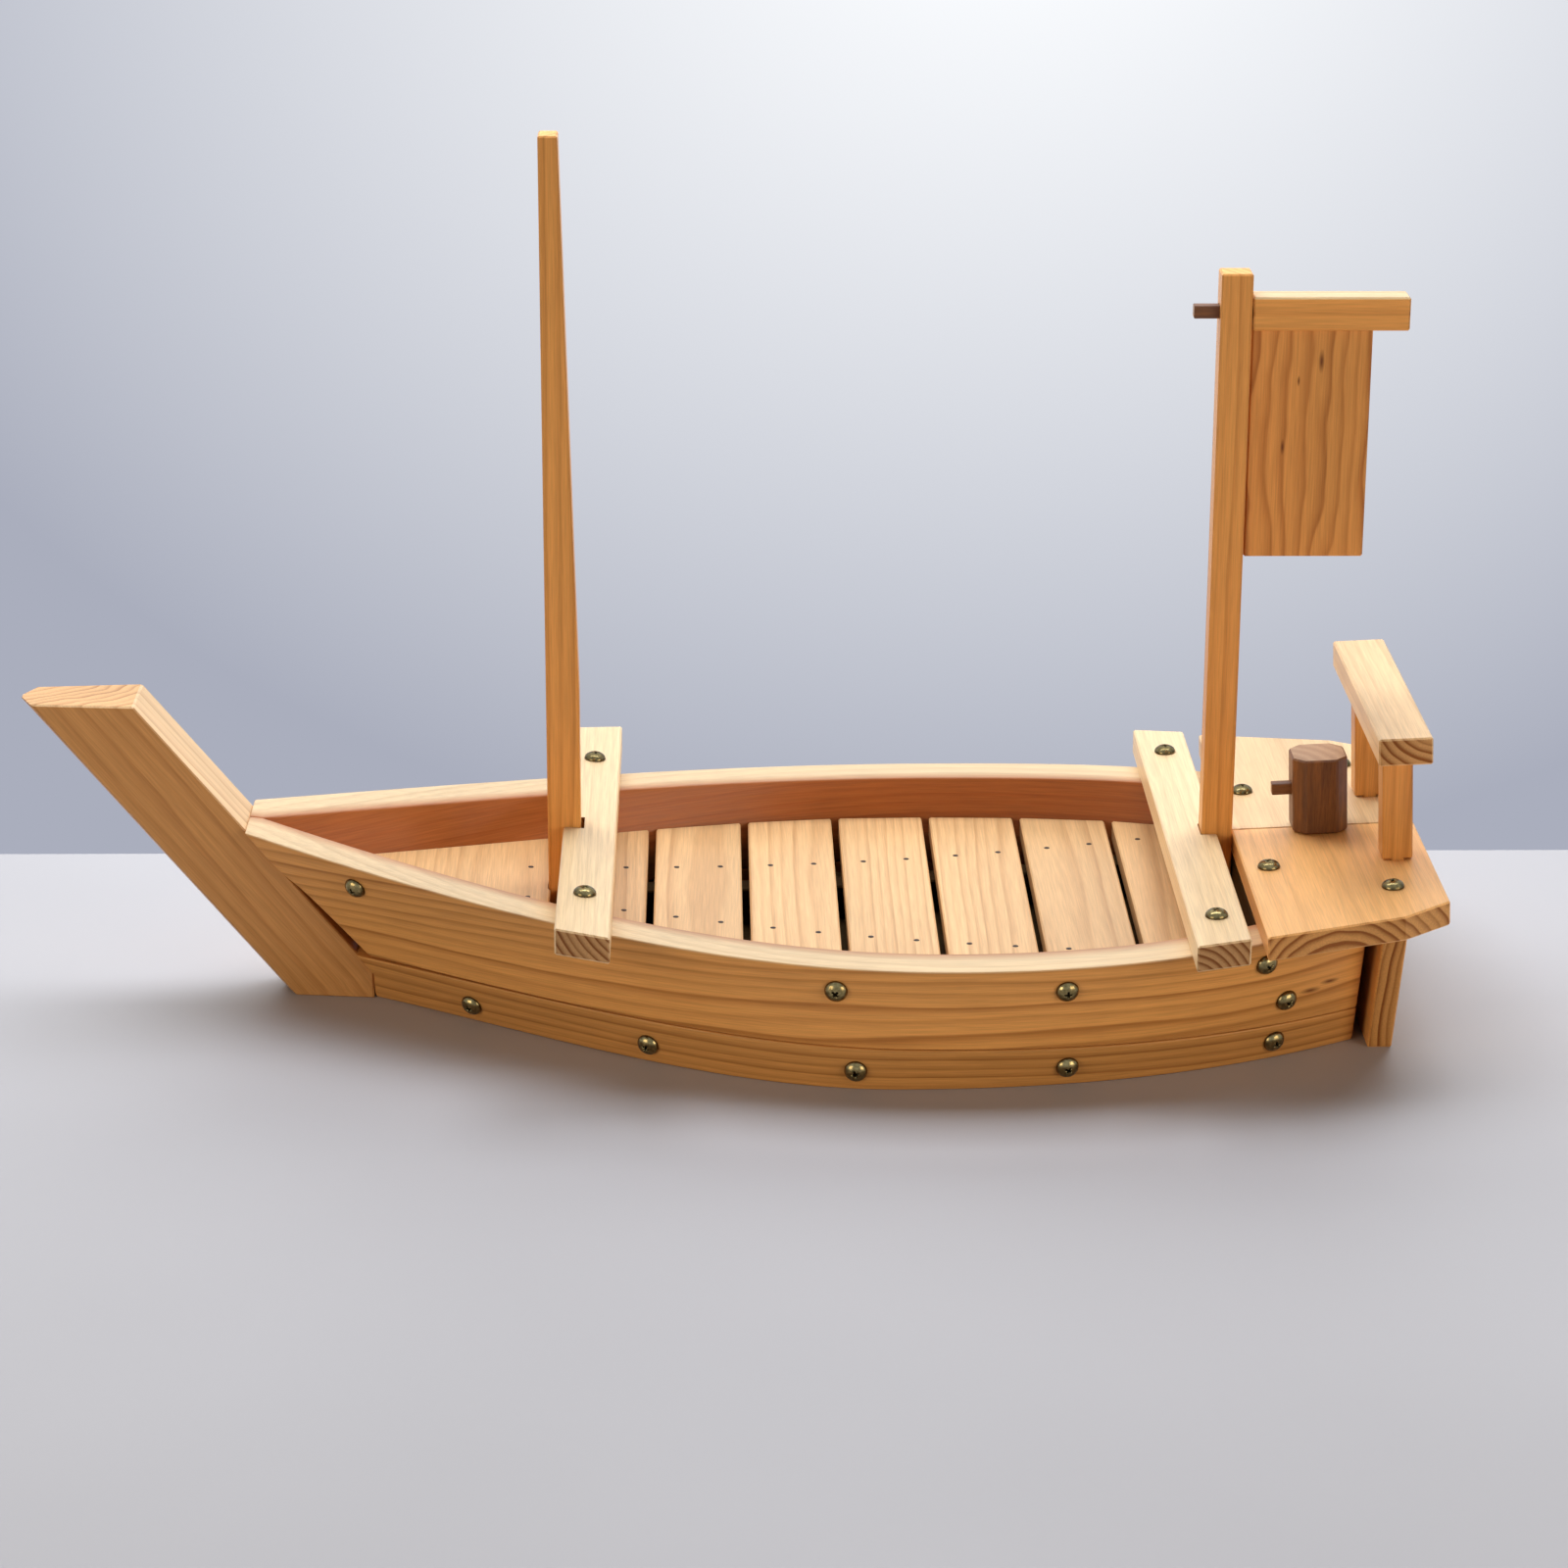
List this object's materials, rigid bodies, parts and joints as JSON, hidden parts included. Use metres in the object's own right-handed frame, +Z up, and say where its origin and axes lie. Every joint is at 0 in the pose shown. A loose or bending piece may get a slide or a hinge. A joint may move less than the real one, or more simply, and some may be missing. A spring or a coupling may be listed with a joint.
{
  "type": "sushi boat",
  "caption": "Wooden serving boat with a planked hull, slatted deck, raked stem, lift-out masts, a hanging flag panel and a stern rail, for presenting food at the table.",
  "frame": {"origin": "centre of the object's footprint at the level of the surface it stands on", "axes": "+X along the boat from bow to stern, +Y to starboard, +Z up along the masts"},
  "size_m": [0.6995, 0.3248, 0.4372],
  "materials": {
    "pine": "satin clear varnish",
    "dark_wood": "satin clear varnish",
    "brass": "antique brass plate"
  },
  "bodies": {
    "hull": {"stem": "pine", "lower_strake_port": "pine", "lower_strake_starboard": "pine", "upper_strake_port": "pine", "upper_strake_starboard": "pine", "bottom_board": "pine", "transom": "pine", "stern_frame": "pine", "deck_bearer_port": "pine", "deck_bearer_starboard": "pine", "foredeck": "pine", "deck_slat_1": "pine", "deck_slat_2": "pine", "deck_slat_3": "pine", "deck_slat_4": "pine", "deck_slat_5": "pine", "deck_slat_6": "pine", "deck_slat_7": "pine", "fore_beam": "pine", "aft_beam": "pine", "stern_deck_port": "pine", "stern_deck_starboard": "pine", "rail_post_port": "pine", "rail_post_starboard": "pine", "rail_bar": "pine", "tiller_block": "dark_wood", "tiller_peg": "dark_wood", "port_screw_1": "brass", "port_screw_2": "brass", "port_screw_3": "brass", "port_screw_4": "brass", "port_screw_5": "brass", "port_screw_6": "brass", "port_screw_7": "brass", "port_screw_8": "brass", "port_screw_9": "brass", "port_screw_10": "brass", "starboard_screw_1": "brass", "starboard_screw_2": "brass", "starboard_screw_3": "brass", "starboard_screw_4": "brass", "starboard_screw_5": "brass", "starboard_screw_6": "brass", "starboard_screw_7": "brass", "starboard_screw_8": "brass", "starboard_screw_9": "brass", "starboard_screw_10": "brass", "fore_beam_screw_1": "brass", "fore_beam_screw_2": "brass", "aft_beam_screw_1": "brass", "aft_beam_screw_2": "brass", "stern_deck_screw_1": "brass", "stern_deck_screw_2": "brass", "stern_deck_screw_3": "brass", "stern_deck_screw_4": "brass"},
    "fore_mast": {"fore_mast": "pine"},
    "flag_mast": {"flag_mast": "pine"},
    "flag": {"flag_yard": "pine", "flag_panel": "pine", "flag_peg": "dark_wood"}
  },
  "joints": [
    {"name": "fore_mast_lift", "type": "slide", "parent": "hull", "child": "fore_mast", "axis": [0, 0, 1], "range_m": [0, 0.085]},
    {"name": "flag_mast_lift", "type": "slide", "parent": "hull", "child": "flag_mast", "axis": [0, 0, 1], "range_m": [0, 0.08]},
    {"name": "flag_pull", "type": "slide", "parent": "flag_mast", "child": "flag", "axis": [1, 0, 0], "range_m": [0, 0.035]}
  ]
}
